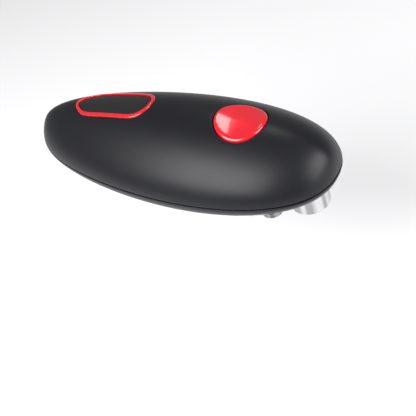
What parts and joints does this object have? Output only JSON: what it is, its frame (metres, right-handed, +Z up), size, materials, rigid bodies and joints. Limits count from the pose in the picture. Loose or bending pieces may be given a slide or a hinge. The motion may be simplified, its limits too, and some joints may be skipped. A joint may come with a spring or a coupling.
{
  "type": "electric can opener",
  "caption": "Hand-held battery can opener: egg-shaped black housing with a red start button and grip trim, a cutting head beneath and a sprung lid magnet at the nose.",
  "frame": {"origin": "under the middle of the housing, level with the face of the lid magnet (bottom centre of the bounding box)", "axes": "+X along the housing towards the nose and its lid magnet, +Y across it to the left, +Z up through the start button"},
  "size_m": [0.195, 0.0798, 0.0566],
  "materials": {
    "soft_touch": "satin soft-touch black",
    "red_gloss": "glossy red",
    "black_gloss": "semi-gloss black inset",
    "dark_plastic": "plain black moulding",
    "bright_steel": "fine brushed",
    "zinc_steel": "zinc plated",
    "tool_steel": "ground",
    "spring_steel": "drawn wire",
    "brass": "machined",
    "nylon": "natural nylon",
    "board_green": "solder mask",
    "cell_wrap": "printed sleeve",
    "magnet_grey": "ferrite"
  },
  "bodies": {
    "housing": {"upper_shell": "soft_touch", "lower_shell": "soft_touch", "grip_ring": "red_gloss", "grip_pad": "black_gloss", "housing_screws": "zinc_steel", "button_spring": "spring_steel", "switch_board": "board_green", "micro_switch": "dark_plastic", "board_screws": "zinc_steel", "battery_holder": "dark_plastic", "aa_cells": "cell_wrap", "battery_contacts": "zinc_steel", "battery_springs": "spring_steel", "motor_can": "zinc_steel", "motor_end_cap": "dark_plastic", "gear_axles": "tool_steel", "gearbox_base": "zinc_steel", "gearbox_top": "dark_plastic", "gearbox_pillars": "zinc_steel", "gearbox_screws": "zinc_steel", "head_plate": "zinc_steel", "head_screws": "zinc_steel", "drive_bushing": "brass", "pinion_pin": "tool_steel", "magnet_spring": "spring_steel"},
    "button": {"start_button": "red_gloss"},
    "plunger": {"switch_plunger": "nylon"},
    "rotor": {"motor_rotor": "zinc_steel", "motor_pinion": "brass"},
    "first_gear": {"gear_1": "nylon"},
    "second_gear": {"gear_2": "nylon"},
    "third_gear": {"gear_3": "tool_steel"},
    "drive": {"drive_gear": "tool_steel", "drive_shaft": "tool_steel", "drive_wheel": "tool_steel", "wheel_screw": "zinc_steel"},
    "carrier": {"cutter_carrier": "dark_plastic", "cutter_rivet": "tool_steel", "cutter_spacer": "brass"},
    "cutter": {"cutter_wheel": "bright_steel"},
    "closer": {"closing_pinion": "nylon"},
    "magnet": {"magnet_cup": "bright_steel", "magnet_disc": "magnet_grey", "magnet_plunger": "dark_plastic", "magnet_clip": "spring_steel"},
    "door": {"battery_door": "soft_touch"}
  },
  "joints": [
    {"name": "button_press", "type": "slide", "parent": "housing", "child": "button", "axis": [0, 0, -1], "range_m": [0, 0.002], "stiffness_N_per_m": 900, "springref_m": -0.0015, "deforming": ["button_spring"]},
    {"name": "plunger_press", "type": "slide", "parent": "housing", "child": "plunger", "axis": [0, 0, -1], "range_m": [0, 0.002]},
    {"name": "rotor_spin", "type": "hinge", "parent": "housing", "child": "rotor", "pos_m": [-0.00221, 0.00022, 0.035], "axis": [0, 0, 1], "continuous": true},
    {"name": "first_gear_spin", "type": "hinge", "parent": "housing", "child": "first_gear", "pos_m": [0.01228, 0.0041, 0.019], "axis": [0, 0, 1], "continuous": true},
    {"name": "second_gear_spin", "type": "hinge", "parent": "housing", "child": "second_gear", "pos_m": [0.02818, 0.00101, 0.015], "axis": [0, 0, 1], "continuous": true},
    {"name": "third_gear_spin", "type": "hinge", "parent": "housing", "child": "third_gear", "pos_m": [0.04576, -0.0037, 0.015], "axis": [0, 0, 1], "continuous": true},
    {"name": "drive_spin", "type": "hinge", "parent": "housing", "child": "drive", "pos_m": [0.061, -0.0125, 0.012], "axis": [0, 0, 1], "continuous": true},
    {"name": "carrier_swing", "type": "hinge", "parent": "housing", "child": "carrier", "pos_m": [0.0406, -0.0125, 0.006], "axis": [0, 0, -1], "range_deg": [0, 100]},
    {"name": "closer_spin", "type": "hinge", "parent": "housing", "child": "closer", "pos_m": [0.0336, -0.00038, 0.009], "axis": [0, 0, -1], "range_deg": [-234, 0]},
    {"name": "cutter_spin", "type": "hinge", "parent": "carrier", "child": "cutter", "pos_m": [0.03991, -0.00856, 0.0015], "axis": [0, 0, 1], "continuous": true},
    {"name": "magnet_float", "type": "slide", "parent": "housing", "child": "magnet", "axis": [0, 0, 1], "range_m": [0, 0.003], "stiffness_N_per_m": 600, "springref_m": -0.006, "deforming": ["magnet_spring"]},
    {"name": "battery_door_release", "type": "slide", "parent": "housing", "child": "door", "axis": [0, 0, -1], "range_m": [0, 0.028]}
  ],
  "couplings": [
    {"joint": "plunger_press", "follows": "button_press", "ratio": 1},
    {"joint": "first_gear_spin", "follows": "rotor_spin", "ratio": -0.2},
    {"joint": "second_gear_spin", "follows": "rotor_spin", "ratio": 0.057143},
    {"joint": "third_gear_spin", "follows": "rotor_spin", "ratio": -0.017143},
    {"joint": "drive_spin", "follows": "rotor_spin", "ratio": 0.0064286},
    {"joint": "closer_spin", "follows": "carrier_swing", "ratio": -2.3333}
  ]
}
